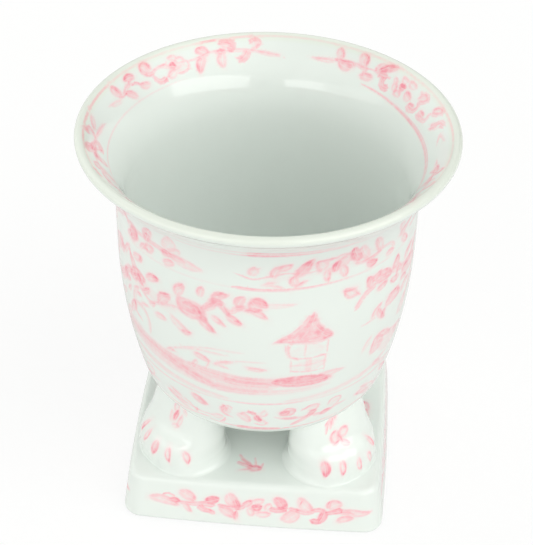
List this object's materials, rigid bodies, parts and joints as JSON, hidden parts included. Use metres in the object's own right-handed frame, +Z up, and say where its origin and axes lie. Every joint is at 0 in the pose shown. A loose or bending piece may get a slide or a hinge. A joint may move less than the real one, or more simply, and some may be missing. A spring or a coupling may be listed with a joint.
{
  "type": "footed planter",
  "caption": "Flared round porcelain urn with a rolled lip, on lion-paw feet over a square plinth, glazed white and painted with pink garlands and a waterside scene; holds a potted plant.",
  "frame": {"origin": "middle of the plinth's underside, on the surface that the planter stands on", "axes": "+Z up along the urn's axis, front towards -Y, plinth sides square to X and Y"},
  "size_m": [0.229, 0.229, 0.254],
  "materials": {
    "glazed_porcelain": "gloss white glaze with brushed pink underglaze painting"
  },
  "bodies": {
    "root": {"plinth": "glazed_porcelain", "bowl": "glazed_porcelain", "paw_foot_front_left": "glazed_porcelain", "paw_foot_front_right": "glazed_porcelain", "paw_foot_rear_left": "glazed_porcelain", "paw_foot_rear_right": "glazed_porcelain"}
  },
  "joints": []
}
